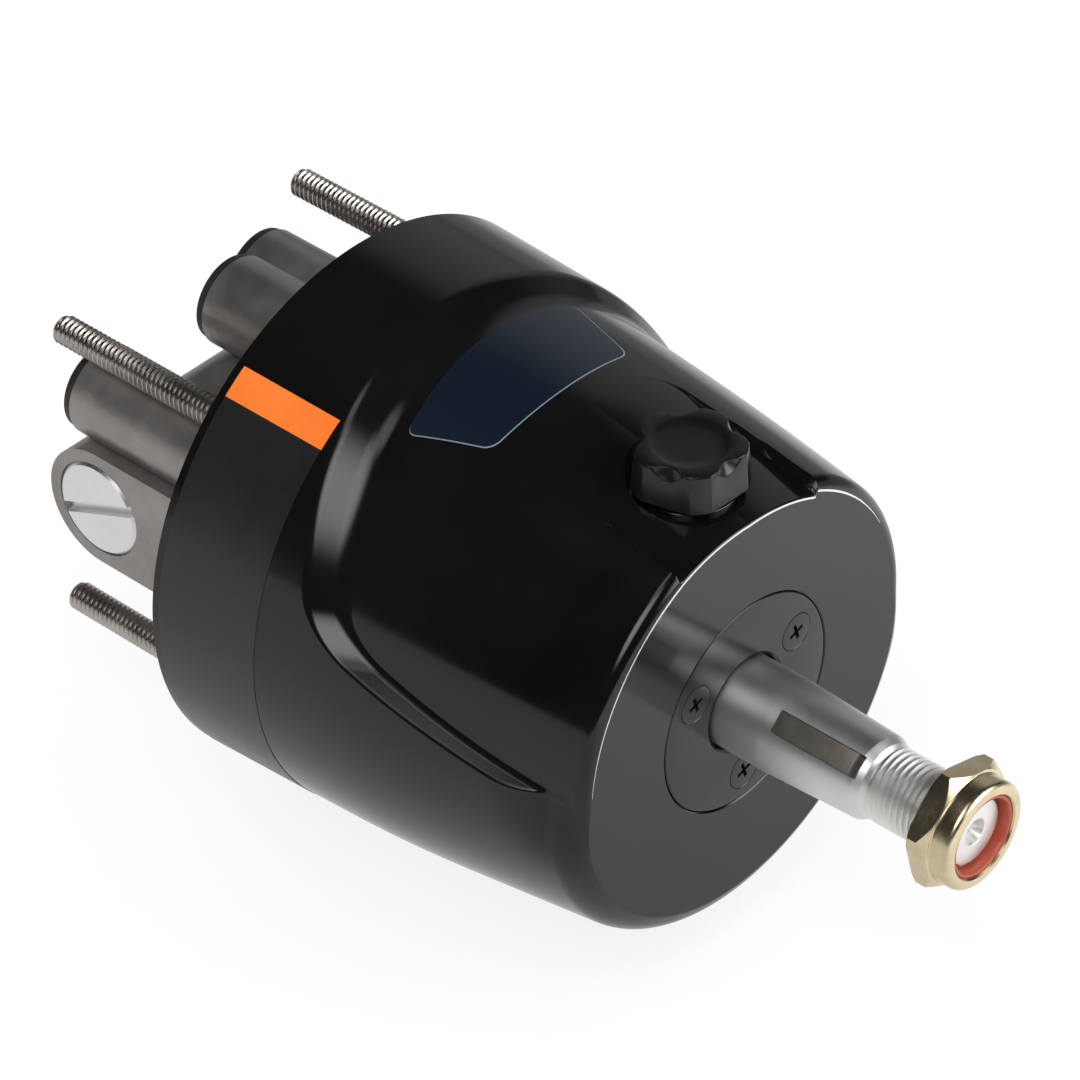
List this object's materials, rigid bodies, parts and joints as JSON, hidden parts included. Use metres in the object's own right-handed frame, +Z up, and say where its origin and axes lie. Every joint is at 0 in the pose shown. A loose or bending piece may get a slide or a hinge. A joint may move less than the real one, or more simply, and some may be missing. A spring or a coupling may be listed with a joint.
{
  "type": "boat steering helm",
  "caption": "Hydraulic boat steering helm: stepped black round housing with a filler cap, tapered wheel shaft with nut, and a cast rear body with lock valve, ports and mounting studs.",
  "frame": {"origin": "centre of the mounting plane, where the shaft axis crosses the rear rim of the housing that rests on the dash", "axes": "-Y along the wheel shaft towards the person steering, +Y along the mounting studs through the dash, +Z up towards the filler cap, +X to the right for someone who faces the helm and looks along +Y"},
  "size_m": [0.12, 0.2136, 0.12],
  "materials": {
    "housing_paint": "semi-gloss black paint over cast metal",
    "cast_alloy": "as cast, satin",
    "black_rubber": "matt",
    "dark_fastener": "dark oxide",
    "stud_steel": "plated, dull, threaded",
    "plate_paint": "semi-gloss black paint",
    "plate_screw_black": "black, painted over",
    "bearing_steel": "ground",
    "cage_bronze": "satin bronze",
    "shaft_steel": "turned and polished stainless",
    "key_steel": "dull drawn bar",
    "nut_plating": "bright yellow zinc plating",
    "insert_red": "brick red nylon",
    "pump_iron": "machined",
    "spring_steel": "drawn wire",
    "plug_alloy": "turned",
    "cap_plastic": "dull black",
    "filler_plastic": "satin black moulding"
  },
  "bodies": {
    "helm": {"front_housing": "housing_paint", "rear_body": "cast_alloy", "housing_oring": "black_rubber", "housing_screws": "dark_fastener", "mounting_studs": "stud_steel", "seal_plate": "plate_paint", "seal_plate_screws": "plate_screw_black", "shaft_seal": "black_rubber", "bearing_outer_ring": "bearing_steel", "fixed_race": "bearing_steel", "port_plate": "cage_bronze", "plate_dowels": "bearing_steel", "rear_bush": "cage_bronze", "valve_seats": "bearing_steel", "left_plug": "plug_alloy", "right_plug": "plug_alloy", "plug_orings": "black_rubber", "port_caps": "cap_plastic"},
    "steering_shaft": {"wheel_shaft": "shaft_steel", "shaft_key": "key_steel", "wheel_nut": "nut_plating", "nut_insert": "insert_red", "bearing_inner_ring": "bearing_steel", "rotor": "pump_iron", "pistons": "bearing_steel", "piston_springs": "spring_steel", "drive_pin": "bearing_steel", "rotor_clip": "spring_steel"},
    "bearing_train": {"bearing_balls_set": "bearing_steel", "bearing_cage": "cage_bronze"},
    "thrust_plate": {"thrust_race": "bearing_steel"},
    "thrust_train": {"thrust_balls": "bearing_steel", "thrust_cage": "cage_bronze"},
    "cap_carrier": {"cap_oring": "black_rubber"},
    "cap": {"filler_cap": "filler_plastic"},
    "spool": {"shuttle_spool": "bearing_steel"},
    "left_check": {"left_poppet": "bearing_steel", "left_spring": "spring_steel"},
    "right_check": {"right_poppet": "bearing_steel", "right_spring": "spring_steel"}
  },
  "joints": [
    {"name": "shaft_spin", "type": "hinge", "parent": "helm", "child": "steering_shaft", "pos_m": [0, 0, 0], "axis": [0, -1, 0], "continuous": true},
    {"name": "bearing_spin", "type": "hinge", "parent": "helm", "child": "bearing_train", "pos_m": [0, -0.0883, 0], "axis": [0, -1, 0], "continuous": true},
    {"name": "thrust_spin", "type": "hinge", "parent": "helm", "child": "thrust_plate", "pos_m": [0, -0.0585, 0], "axis": [0, -0.9659, 0.2588], "continuous": true},
    {"name": "thrust_ball_spin", "type": "hinge", "parent": "helm", "child": "thrust_train", "pos_m": [0, -0.0585, 0], "axis": [0, -0.9659, 0.2588], "continuous": true},
    {"name": "cap_rise", "type": "slide", "parent": "helm", "child": "cap_carrier", "axis": [0, 0, 1], "range_m": [0, 0.008]},
    {"name": "cap_turn", "type": "hinge", "parent": "cap_carrier", "child": "cap", "pos_m": [0, -0.0884, 0.0466], "axis": [0, 0, 1], "range_deg": [0, 1440]},
    {"name": "spool_slide", "type": "slide", "parent": "helm", "child": "spool", "axis": [1, 0, 0], "range_m": [-0.002, 0.002]},
    {"name": "left_check_slide", "type": "slide", "parent": "helm", "child": "left_check", "axis": [-1, 0, 0], "range_m": [0, 0.0025], "stiffness_N_per_m": 200, "springref_m": -0.003, "deforming": ["left_spring"]},
    {"name": "right_check_slide", "type": "slide", "parent": "helm", "child": "right_check", "axis": [1, 0, 0], "range_m": [0, 0.0025], "stiffness_N_per_m": 200, "springref_m": -0.003, "deforming": ["right_spring"]}
  ],
  "couplings": [
    {"joint": "bearing_spin", "follows": "shaft_spin", "ratio": 0.39758},
    {"joint": "thrust_spin", "follows": "shaft_spin", "ratio": 1},
    {"joint": "thrust_ball_spin", "follows": "shaft_spin", "ratio": 0.5},
    {"joint": "cap_rise", "follows": "cap_turn", "m_per_rad": 0.00031831}
  ]
}
